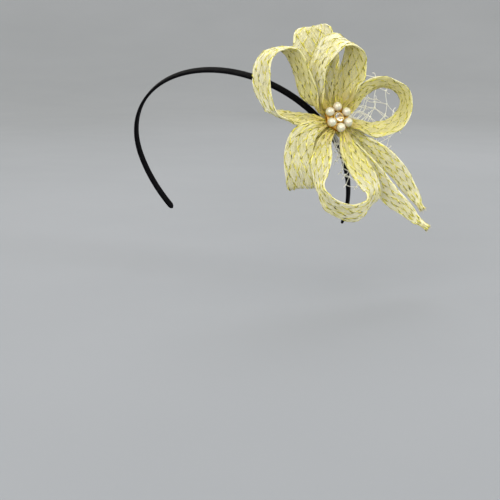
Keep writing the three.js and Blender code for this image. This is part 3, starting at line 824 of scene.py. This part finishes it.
def tape_rings(ribbon, draws):
    """The gold tapes of the lattice. Each twists as it runs and dips under the filaments."""
    along = ribbon.at(TAPE_STEP)[0]
    count = 2 * GOLD_TAPES
    way = np.where(np.arange(count) < GOLD_TAPES, 1, -1)[:, None]
    first = (np.arange(count) % GOLD_TAPES + TAPE_FIRST)[:, None] / GOLD_TAPES
    phase = draws.uniform(0, 2 * math.pi, (3, count, 1))
    stray = np.sin(along / TAPE_STRAY_LENGTH + phase[0])
    turns = first + way * along / BRAID_PITCH + TAPE_STRAY * stray
    lift = TAPE_LIFT + TAPE_WEAVE * np.sin(2 * math.pi * along / TAPE_WEAVE_LENGTH + phase[1])
    lines, outward = ribbon.on_tube(TAPE_STEP, turns, lift)
    twist = TAPE_TWIST * np.sin(2 * math.pi * along / TAPE_TWIST_LENGTH + phase[2])[..., None]
    wide = np.array((1, 1, -1, -1)) * TAPE_WIDTH / 2
    thick = np.array((-1, 1, 1, -1)) * TAPE_THICKNESS / 2
    turned = np.stack((wide * np.cos(twist) - thick * np.sin(twist),
                       wide * np.sin(twist) + thick * np.cos(twist)), axis=-1)
    return carried(lines, outward, turned), along / MAP_LENGTH


crinoline, start = new_finish("cream_crinoline", {
    "Specular IOR Level": 0.4, "Sheen Weight": 0.3, "Sheen Roughness": 0.5})
reach = {0: start.from_point(flower_middle)}
from_middle = start.node("VectorMath", {"operation": "LENGTH"}, reach, output="Value") / MM
thread_tone = start.streaks(MAP_LENGTH / FILAMENT_STREAK, 400, 2)
broad_tone = start.mottle(14, 3.0)
drawn_in = 1 - from_middle.between(24, 58)
fleck = 0.5 * thread_tone + 0.5 * start.mottle(0.6, 2.0) + 0.2 * broad_tone - 0.05 * drawn_in
cream_tone = fleck.between(0.52, 0.60).mix(CREAM_YELLOW, CREAM)
cream_tone = fleck.between(0.58, 0.68).mix(cream_tone, CREAM_PALE)
# Painted shade: the layer of each loop that faces into it is tinted a deeper, shaded gold with darker
# flecks.
inner_layer_painted_shade = start.node("Attribute", {"attribute_name": "inside"}, output="Fac")
inside_painted_shade_tone = start.mottle(0.5, 1.0).between(0.37, 0.45).mix(INSIDE_PAINTED_SHADE_DARK, INSIDE_PAINTED_SHADE_GOLD)
cream_tone = (0.6 * inner_layer_painted_shade).mix(cream_tone, inside_painted_shade_tone)
# Near the knot the filaments turn ochre: partly the denser gold where the tube is drawn in, partly painted
# shade in the deep folds round the knot.
into_knot_gold_and_shade = 1 - (from_middle + 8 * thread_tone).between(13, 29)
feed(crinoline, {
    "Base Color": (0.75 * into_knot_gold_and_shade).mix(cream_tone, ROOT_OCHRE_AND_SHADE),
    "Roughness": 0.38 + 0.25 * thread_tone,
})

# Painted glints and reflections: each gold tape is painted in short dashes of bright glint and near-black
# reflection.
tape_foil, start = new_finish("gold_tape", {"Metallic": 0.35, "Specular IOR Level": 0.6})
painted_glint = start.streaks(MAP_LENGTH / TAPE_PAINTED_GLINT, 170, 1)
painted_glint_stops = [(0.0, GOLD_DARK_PAINTED_REFLECTION), (0.45, GOLD_DARK_PAINTED_REFLECTION), (0.475, GOLD_DEEP_PAINTED_GLINT),
               (0.50, GOLD_BRIGHT_PAINTED_GLINT), (1.0, GOLD_BRIGHT_PAINTED_GLINT)]
feed(tape_foil, {
    "Base Color": painted_glint.node("ValToRGB", {"stops": painted_glint_stops}, {"Fac": painted_glint}),
    "Roughness": 0.22 + 0.3 * painted_glint,
})

ribbon_runs = {}
for number, (name, (start_root, end_root, sections)) in enumerate(RIBBONS.items()):
    ribbon = Ribbon(start_root, end_root, sections)
    ribbon_runs[name] = ribbon
    draws = np.random.default_rng(RIBBON_SEED + number)
    # Each braid carries a mark of its inner layer, where shade is painted.
    rings, along, facing_in_painted_shade = filament_rings(ribbon, draws)
    braid = new_piece(name + "_braid", [tubes(in_flower(rings), along)], crinoline)
    braid.data.attributes.new("inside", "FLOAT", "POINT").data.foreach_set("value", facing_in_painted_shade)
    rings, along = tape_rings(ribbon, draws)
    lattice = new_piece(name + "_gold_tape", [tubes(in_flower(rings), along)], tape_foil)
    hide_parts(name)

# Tail ties: a few turns of cream thread bind each tail near its end, and the cut filaments fray out
# beyond them in a short tuft.
TIE_TURNS = 5
TIE_LENGTH = 2.2
TIE_THREAD = 0.3
TIE_FROM_END = 3.6
TIE_SLACK = 0.1
TIE_STEP = 0.2
TIE_STATIONS = 12
FRAY_HAIRS = 90
FRAY_LENGTH = 2.2
FRAY_SHORTEST = 0.3
FRAY_HAIR = 0.12
FRAY_SUNK = 0.8
FRAY_BEND = 0.25
FRAY_SPREAD_ACROSS = 0.45
FRAY_SPREAD_THROUGH = 0.3
FRAY_STRAY = 0.15
FRAY_SEED = 200
THREAD_OCHRE = (0.52, 0.42, 0.12, 1)
THREAD_CREAM = (0.86, 0.82, 0.56, 1)

thread, start = new_finish("cream_thread", {"Sheen Weight": 0.4, "Sheen Roughness": 0.5})
strand = start.mottle(0.35, 3.0)
feed(thread, {
    "Base Color": strand.between(0.35, 0.65).mix(THREAD_OCHRE, THREAD_CREAM),
    "Roughness": 0.5 + 0.3 * strand,
    "Normal": strand.bump(0.08, 0.6),
})
for number, name in enumerate(("tail_upper", "tail_lower")):
    ribbon = ribbon_runs[name]
    draws = np.random.default_rng(FRAY_SEED + number)
    along, middle, width, side, face = ribbon.at(TIE_STEP)
    wound = np.linspace(0, 1, TIE_STATIONS * TIE_TURNS + 1)
    place = ribbon.length - TIE_FROM_END + (wound - 0.5) * TIE_LENGTH
    turn = (2 * math.pi * TIE_TURNS * wound)[:, None]
    beside = np.cos(turn) * at_places(place, along, side)
    through = np.sin(turn) * at_places(place, along, face)
    half_width = np.interp(place, along, width)[:, None] / 2 + TIE_SLACK
    coil = at_places(place, along, middle) + half_width * beside + (ROOT_HALF + TIE_THREAD) * through
    coil_rings = carried(coil[None], (beside + through)[None], circle(TIE_THREAD, 6))
    ahead = unit(middle[-1] - middle[-6])
    spread_across, spread_through = np.split(draws.uniform(-1, 1, (FRAY_HAIRS, 2)), 2, axis=1)
    ends = middle[-1] + side[-1] * spread_across * width[-1] / 2 + face[-1] * spread_through * ROOT_HALF
    ways = ahead + FRAY_SPREAD_ACROSS * spread_across * side[-1]
    ways = ways + FRAY_SPREAD_THROUGH * spread_through * face[-1]
    ways = ways + draws.normal(0, FRAY_STRAY, (FRAY_HAIRS, 3))
    lengths = FRAY_LENGTH * draws.uniform(FRAY_SHORTEST, 1, FRAY_HAIRS)
    tuft = hairs(ends - FRAY_SUNK * ahead, ways, lengths, FRAY_BEND, FRAY_HAIR, draws)
    parts = [tubes(in_flower(coil_rings)), (in_flower(tuft[0]), *tuft[1:])]
    tie = new_piece(name + "_tie", parts, thread)

# Gather knot: the drawn-in ends of the ribbons, bound round and round with cream thread into a short
# drum that stands on the felt and carries the brooch.
KNOT_RADIUS = 4.8
KNOT_TOP = -3.5
KNOT_BOTTOM = -12.3
KNOT_TURNS = 17
KNOT_THREAD = 0.3
KNOT_STATIONS = 36
KNOT_SUNK = 0.25
KNOT_WANDER = 0.12
KNOT_WANDERS_A_TURN = 0.37
CORE_RADIUS = 4.5
CORE_CHAMFER = 0.2
CORE_SHOULDER = 0.5
CORE_HOLE = 0.5

wound = np.linspace(0, 1, KNOT_STATIONS * KNOT_TURNS + 1)
turn = 2 * math.pi * KNOT_TURNS * wound
wander = KNOT_RADIUS - KNOT_SUNK + KNOT_WANDER * np.sin(KNOT_WANDERS_A_TURN * turn)
climb = KNOT_BOTTOM + KNOT_THREAD + (KNOT_TOP - KNOT_BOTTOM - 2 * KNOT_THREAD) * wound
winding = np.stack((wander * np.cos(turn), wander * np.sin(turn), climb), axis=-1)
winding_lifts = np.stack((np.cos(turn), np.sin(turn), 0 * turn), axis=-1)
winding_rings = carried(winding[None], winding_lifts[None], circle(KNOT_THREAD, 6))
core_rings = lathe([
    (CORE_HOLE, KNOT_BOTTOM),
    (CORE_RADIUS - CORE_CHAMFER, KNOT_BOTTOM),
    (CORE_RADIUS, KNOT_BOTTOM + CORE_SHOULDER),
    (CORE_RADIUS, KNOT_TOP - CORE_SHOULDER),
    (CORE_RADIUS - CORE_CHAMFER, KNOT_TOP),
    (CORE_HOLE, KNOT_TOP),
], 40)
knot = new_piece("knot_winding", [tubes(on_axis(core_rings)), tubes(on_axis(winding_rings))], thread)
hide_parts("gather_knot")

# Brooch setting: a gold-coloured plate with a scalloped edge, bordered with fine beads and a twisted
# wire. A shallow cup holds each pearl, and a collet with small claws holds the stone.
PLATE_RADIUS = 8.3
PLATE_TOP = -1.45
PLATE_BOTTOM = -3.2
PLATE_WAIST = -2.4
PLATE_HOLE = 0.5
SCALLOP_DEPTH = 0.035
PEARL_RING = 7.2
PEARL_FIRST = 30
COLLET_RADIUS = 3.65
COLLET_TOP = 0.4
EDGE_BEADS = 54
EDGE_BEAD = 0.36
EDGE_BEAD_SUNK = 0.05
ROPE_WIRE = 0.2
ROPE_TURNS = 40
ROPE_STATIONS = 600
ROPE_OUT = 0.1
ROPE_RISE = 0.45
STONE_CLAWS = 6
CLAW = 0.26
CLAW_TIP = 0.4
CLAW_FIRST = 22.5
CLAW_ROUTE = ((3.45, -0.8), (3.55, 0.3), (3.22, 0.95), (2.62, 1.36))
GOLD = (0.72, 0.48, 0.09, 1)
GOLD_PALE = (0.84, 0.68, 0.30, 1)
# Painted shade: dark amber for the low, recessed gold of the setting.
GOLD_AMBER_PAINTED_SHADE = (0.46, 0.22, 0.006, 1)
GOLD_TARNISH = (0.10, 0.06, 0.015, 1)


def round_axis(radius, degrees, height):
    """Places round the flower's axis, in its own frame."""
    turn = np.radians(degrees)
    return np.stack(np.broadcast_arrays(radius * np.cos(turn), radius * np.sin(turn), height), axis=-1)


def scallop(turn):
    """How much further out than a plain circle the plate's edge lies at that turn, in radians."""
    return 1 + SCALLOP_DEPTH * np.cos(PEARLS * (turn - math.radians(PEARL_FIRST)))


def beads(places, radius, sides=10):
    """Small balls at those places."""
    lift = np.radians(np.linspace(-84, 84, 7))
    ball = lathe([(math.cos(a), math.sin(a)) for a in lift], sides) * radius
    return tubes(on_axis(places[:, None, None] + ball))


def claws(routes, radius):
    """Wires along routes that end in a blunt round tip."""
    lines = np.array([rounded(route, 5) for route in routes])
    taper = np.sqrt(1 - np.linspace(0, 0.97, lines.shape[1]) ** 4)[None, :, None, None]
    lifts = np.broadcast_to((0.13, 0.21, 0.97), lines.shape)
    return tubes(on_axis(carried(lines, lifts, circle(radius, 7) * (CLAW_TIP + (1 - CLAW_TIP) * taper))))


# Plate, cups and collet are turned shapes, from (radius, height) at the bottom round to the top.
pearl_angles = PEARL_FIRST + np.arange(PEARLS) * 360 / PEARLS
plate_rings = lathe([
    (PLATE_HOLE, PLATE_BOTTOM),
    (PLATE_RADIUS - 0.5, PLATE_BOTTOM),
    (PLATE_RADIUS, PLATE_BOTTOM + 0.3),
    (PLATE_RADIUS - 0.25, PLATE_WAIST),
    (PLATE_RADIUS, PLATE_TOP - 0.25),
    (PLATE_RADIUS - 0.3, PLATE_TOP),
    (PLATE_HOLE, PLATE_TOP),
], 96)
plate_rings[..., :2] *= scallop(np.arctan2(plate_rings[..., 1], plate_rings[..., 0]))[..., None]
setting_parts = [tubes(on_axis(plate_rings))]

bead_angles = np.arange(EDGE_BEADS) * 360 / EDGE_BEADS
bead_radius = PLATE_RADIUS * scallop(np.radians(bead_angles))
bead_places = round_axis(bead_radius, bead_angles, PLATE_TOP - EDGE_BEAD_SUNK)
setting_parts.append(beads(bead_places, EDGE_BEAD))

rope_turn = np.linspace(0, 2 * math.pi, ROPE_STATIONS)
for half_turn in (0, math.pi):
    twist = ROPE_TURNS * rope_turn + half_turn
    rope_radius = (PLATE_RADIUS + ROPE_OUT + ROPE_WIRE * np.cos(twist)) * scallop(rope_turn)
    rope_height = PLATE_BOTTOM + ROPE_RISE + ROPE_WIRE * np.sin(twist)
    rope = round_axis(rope_radius, np.degrees(rope_turn), rope_height)
    rope_lifts = np.broadcast_to((0.01, 0.02, 1.0), rope.shape)
    setting_parts.append(tubes(on_axis(carried(rope[None], rope_lifts[None], circle(ROPE_WIRE, 6)))))

cup_rings = lathe([
    (0.4, PLATE_TOP - 1.2),
    (1.7, PLATE_TOP - 0.9),
    (2.45, PLATE_TOP - 0.1),
    (2.75, -0.75),
    (2.6, -0.65),
    (2.25, -1.5),
    (0.4, -2.35),
], 28)
for angle in pearl_angles:
    setting_parts.append(tubes(on_axis(cup_rings + round_axis(PEARL_RING, angle, 0.0))))
collet_rings = lathe([
    (2.2, PLATE_TOP - 0.3),
    (2.9, PLATE_TOP),
    (COLLET_RADIUS - 0.15, -0.6),
    (COLLET_RADIUS, COLLET_TOP),
    (COLLET_RADIUS - 0.35, COLLET_TOP + 0.12),
    (2.95, -0.2),
    (0.4, -1.75),
], 48)
setting_parts.append(tubes(on_axis(collet_rings)))
claw_routes = []
for claw in range(STONE_CLAWS):
    degrees = CLAW_FIRST + claw * 360 / STONE_CLAWS
    claw_routes.append([round_axis(radius, degrees, height) for radius, height in CLAW_ROUTE])
setting_parts.append(claws(claw_routes, CLAW))

gold, start = new_finish("gold_metal", {"Metallic": 1.0})
dulled = start.mottle(1.2, 5.0)
axis_way = {0: start.from_point(flower_middle), 1: tuple(axis_out @ flower_axes)}
height = start.node("VectorMath", {"operation": "DOT_PRODUCT"}, axis_way, output="Value") / MM
worn_gold = start.mottle(2.5).between(0.4, 0.6).mix(GOLD, GOLD_PALE)
# Painted shade: lower down, on the plate between and under the cups, the gold turns a dark amber.
recess_painted_shade = 1 - (height + 1.2 * dulled).between(-1.6, 0.2)
feed(gold, {
    "Base Color": dulled.between(0.58, 0.75).mix(recess_painted_shade.mix(worn_gold, GOLD_AMBER_PAINTED_SHADE), GOLD_TARNISH),
    "Roughness": 0.2 + 0.3 * dulled,
    "Normal": start.mottle(0.4, 2.0).bump(0.04, 0.3),
})
setting = new_piece("brooch_gold", setting_parts, gold, mapped=False)
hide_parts("brooch_setting")

# Stone: a clear glass brilliant. A flat table, a crown and a pavilion of eightfold facets meet at a
# thin girdle, which the collet's claws hold.
STONE_RADIUS = 2.9
STONE_GIRDLE = 0.8
STONE_TOP = 1.9
STONE_POINT = -1.6
GIRDLE_THICKNESS = 0.3
TABLE_SHARE = 0.58
CROWN_SHARE = 0.84
CROWN_RISE = 0.52
PAVILION_SHARE = 0.5
PAVILION_DROP = 0.56
GLASS_CLEAR = (0.99, 0.97, 0.93, 1)

eighths = np.arange(8) * 45
sixteenths = np.arange(16) * 22.5
under_girdle = STONE_GIRDLE - GIRDLE_THICKNESS
crown_height = STONE_GIRDLE + CROWN_RISE * (STONE_TOP - STONE_GIRDLE)
pavilion_height = under_girdle - PAVILION_DROP * (under_girdle - STONE_POINT)
stone_points = [
    round_axis(STONE_RADIUS * TABLE_SHARE, eighths + 22.5, STONE_TOP),
    round_axis(STONE_RADIUS * CROWN_SHARE, eighths, crown_height),
    round_axis(STONE_RADIUS, sixteenths, STONE_GIRDLE),
    round_axis(STONE_RADIUS, sixteenths, under_girdle),
    round_axis(STONE_RADIUS * PAVILION_SHARE, eighths, pavilion_height),
    round_axis(0.0, np.zeros(1), STONE_POINT),
]
stone_mesh = bpy.data.meshes.new("stone_brilliant")
stone_mesh.from_pydata((on_axis(np.concatenate(stone_points)) * MM).tolist(), [], [])
cut = bmesh.new()
cut.from_mesh(stone_mesh)
bmesh.ops.convex_hull(cut, input=cut.verts)
cut.to_mesh(stone_mesh)
cut.free()

glass, start = new_finish("clear_glass", {
    "Transmission Weight": 1.0, "IOR": 1.62, "Base Color": GLASS_CLEAR})
feed(glass, {"Roughness": 0.02 * start.mottle(2)})
stone_mesh.materials.append(glass)
stone = bpy.data.objects.new("stone_brilliant", stone_mesh)
bpy.context.scene.collection.objects.link(stone)
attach(stone, "root")
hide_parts("centre_stone")

# Pearls: six round beads with a lustrous coat, seated in the cups of the setting. None is quite round,
# and each has its own tint.
PEARL_RADIUS = 3
PEARL_UNEVEN = 0.006
PEARL_SEED = 300
PEARL_CREAM = (0.68, 0.63, 0.42, 1)
PEARL_ROSE = (0.65, 0.58, 0.41, 1)
PEARL_SILVER = (0.59, 0.575, 0.44, 1)

pearl_finish, start = new_finish("pearl_coat", {
    "Coat Roughness": 0.04, "Coat IOR": 1.9, "IOR": 1.8, "Specular IOR Level": 0.6,
    "Subsurface Weight": 0.2, "Subsurface Scale": 0.6 * MM})
tint = start.mottle(3.5, 1.0).between(0.4, 0.6)
blush = start.mottle(6, 1.0).between(0.4, 0.6)
feed(pearl_finish, {
    "Base Color": tint.mix(blush.mix(PEARL_CREAM, PEARL_ROSE), PEARL_SILVER),
    "Roughness": 0.12 + 0.1 * start.mottle(0.8, 3.0),
    "Coat Weight": 0.75 + 0.25 * start.mottle(1.5),
    "Normal": start.mottle(0.7, 2.0).bump(0.02, 0.25),
})
ball_lift = np.radians(np.linspace(-88, 88, 34))
ball_rings = PEARL_RADIUS * lathe([(math.cos(lift), math.sin(lift)) for lift in ball_lift], 48)
for number in range(PEARLS):
    draws = np.random.default_rng(PEARL_SEED + number)
    uneven = draws.normal(0, PEARL_UNEVEN, 3)
    ball = ball_rings * (1 + uneven) + round_axis(PEARL_RING, pearl_angles[number], PEARL_HEIGHT)
    pearl = new_piece(f"pearl_bead_{number + 1}", [tubes(on_axis(ball))], pearl_finish)
    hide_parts(f"pearl_{number + 1}")

# Floor and light: a plain pale paper floor that sweeps up all round, broad soft lamps in front, a tall
# one on the right for the highlights, one behind, and an even sky.
FLOOR_DROP = 30
FLOOR_RADIUS = 1400
FLOOR_BEND = 2600
FLOOR_SLOPE = 58
FLOOR_LEVEL_RINGS = (300, 800)
FLOOR_PALE = (0.265, 0.28, 0.318, 1)
FLOOR_DIM = (0.25, 0.265, 0.30, 1)
SKY = (1.0, 0.97, 0.86, 1)
SKY_STRENGTH = 1.46
LAMP_COLOUR = (0.98, 0.99, 1.0)
LAMP_SPREAD = 100

# A lamp has its azimuth and elevation round the flower, its distance, its width and height, and its
# power in watts.
LAMPS = {
    "key_lamp": ((-6, 24), 2000, (1400, 1400), 3.8),
    "window_lamp": ((90, 26), 2200, (240, 1100), 2.3),
    "back_lamp": ((200, 42), 1600, (700, 700), 1.7),
    "fill_lamp": ((28, 14), 2000, (2000, 800), 3.6),
}

floor_height = cad_box[0].z / MM - FLOOR_DROP
bend = np.radians(np.linspace(0, FLOOR_SLOPE, 24))
sweep_out = np.concatenate((FLOOR_LEVEL_RINGS, FLOOR_RADIUS + FLOOR_BEND * np.sin(bend)))
sweep_up = floor_height + np.concatenate(((0, 0), FLOOR_BEND * (1 - np.cos(bend))))
sweep_points = lathe(np.stack((sweep_out, sweep_up), axis=-1), 96)[0]
spot = np.arange(sweep_points.size // 3).reshape(sweep_points.shape[:2])
beside = np.roll(spot, -1, axis=1)
sweep_faces = np.stack((spot[:-1], spot[1:], beside[1:], beside[:-1]), axis=-1).reshape(-1, 4).tolist()
sweep_faces.append(spot[0].tolist())
floor_mesh = bpy.data.meshes.new("floor")
floor_mesh.from_pydata((sweep_points.reshape(-1, 3) * MM).tolist(), [], sweep_faces)
floor_mesh.polygons.foreach_set("use_smooth", np.ones(len(sweep_faces), bool))
paper, start = new_finish("pale_paper", {"Specular IOR Level": 0.2})
feed(paper, {
    "Base Color": start.mottle(400).between(0.3, 0.7).mix(FLOOR_DIM, FLOOR_PALE),
    "Roughness": 0.75 + 0.2 * start.mottle(60),
})
floor_mesh.materials.append(paper)
floor = bpy.data.objects.new("floor", floor_mesh)
bpy.context.scene.collection.objects.link(floor)

for name, ((azimuth, elevation), distance, size, power) in LAMPS.items():
    lamp = bpy.data.objects.new(name, bpy.data.lights.new(name, "AREA"))
    bpy.context.scene.collection.objects.link(lamp)
    axes = facing(azimuth, elevation)
    lamp.data.shape = "RECTANGLE"
    lamp.data.size, lamp.data.size_y = size[0] * MM, size[1] * MM
    lamp.data.energy = power
    lamp.data.spread = math.radians(LAMP_SPREAD)
    lamp.data.color = LAMP_COLOUR
    lamp_place = flower_middle + axes[2] * distance
    lamp.matrix_world = Matrix.Translation(lamp_place * MM) @ Matrix(axes.T).to_4x4()
world = bpy.data.worlds.new("even_sky")
world.use_nodes = True
world.node_tree.nodes["Background"].inputs["Color"].default_value = SKY
world.node_tree.nodes["Background"].inputs["Strength"].default_value = SKY_STRENGTH
bpy.context.scene.world = world
bpy.context.scene.view_settings.view_transform = "Standard"
